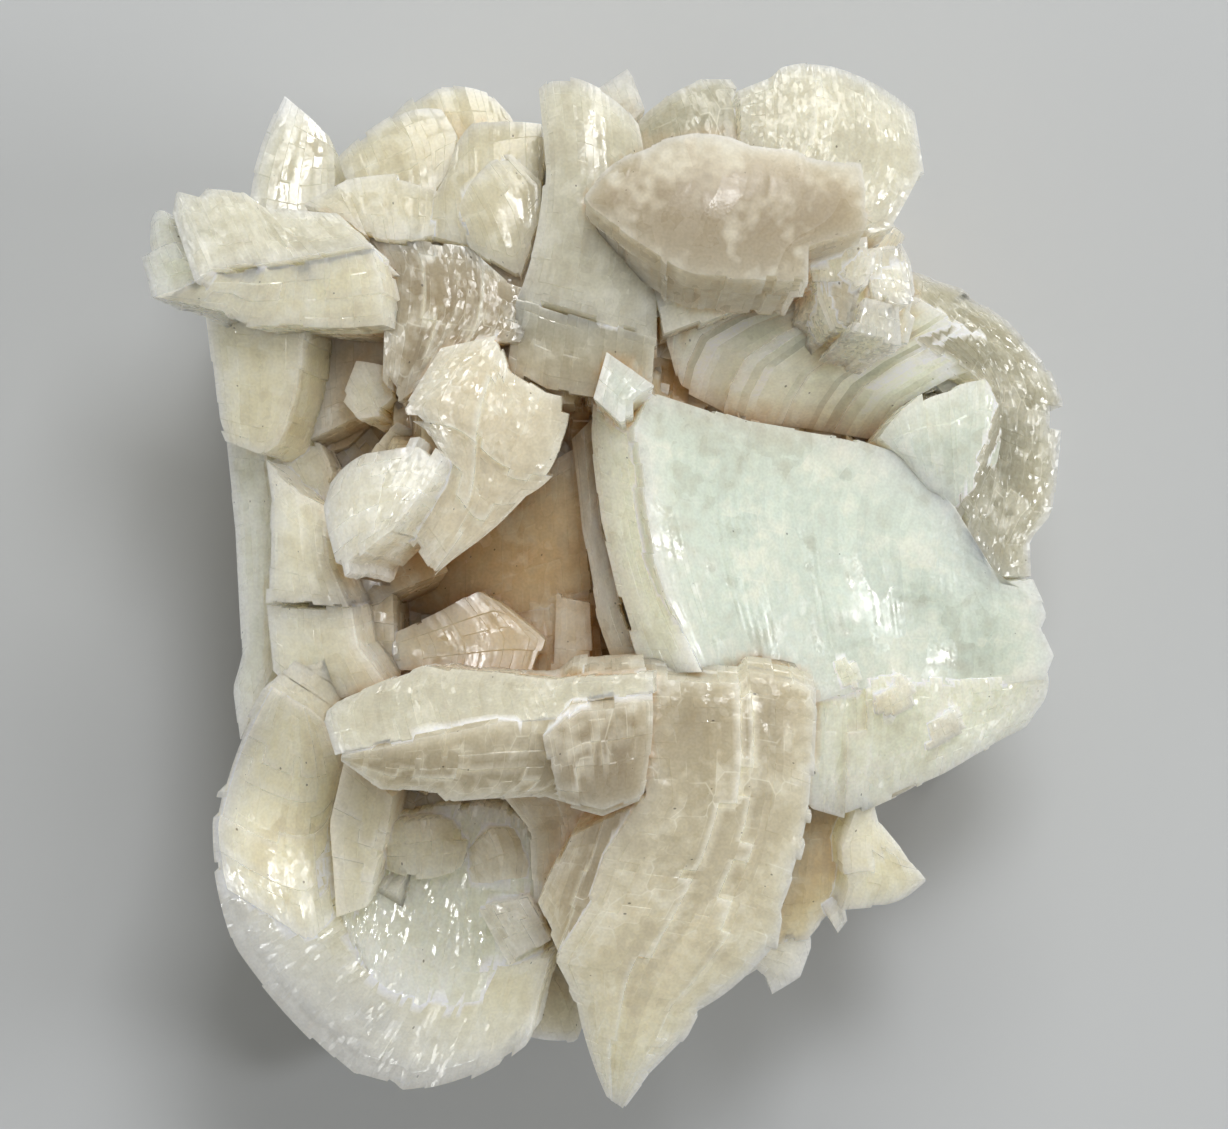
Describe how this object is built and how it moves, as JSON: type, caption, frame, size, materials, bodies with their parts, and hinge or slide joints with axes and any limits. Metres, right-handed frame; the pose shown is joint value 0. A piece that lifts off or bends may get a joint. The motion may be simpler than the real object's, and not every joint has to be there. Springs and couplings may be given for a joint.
{
  "type": "bladed dolomite specimen",
  "caption": "Thumbnail cluster of intergrown curved dolomite blades, cut off flat where it grew, lying on the cut with its display face up.",
  "frame": {"origin": "centre of the box round the specimen, in the plane of the flat cut that it rests on", "axes": "+X to the right of the display face, +Y to its top, +Z out of the display face, away from the cut"},
  "size_m": [0.028, 0.0314, 0.0195],
  "materials": {
    "dolomite": "pearly, translucent, pale cream to greenish white, finely stepped"
  },
  "bodies": {
    "root": {"dolomite_cluster": "dolomite"}
  },
  "joints": []
}
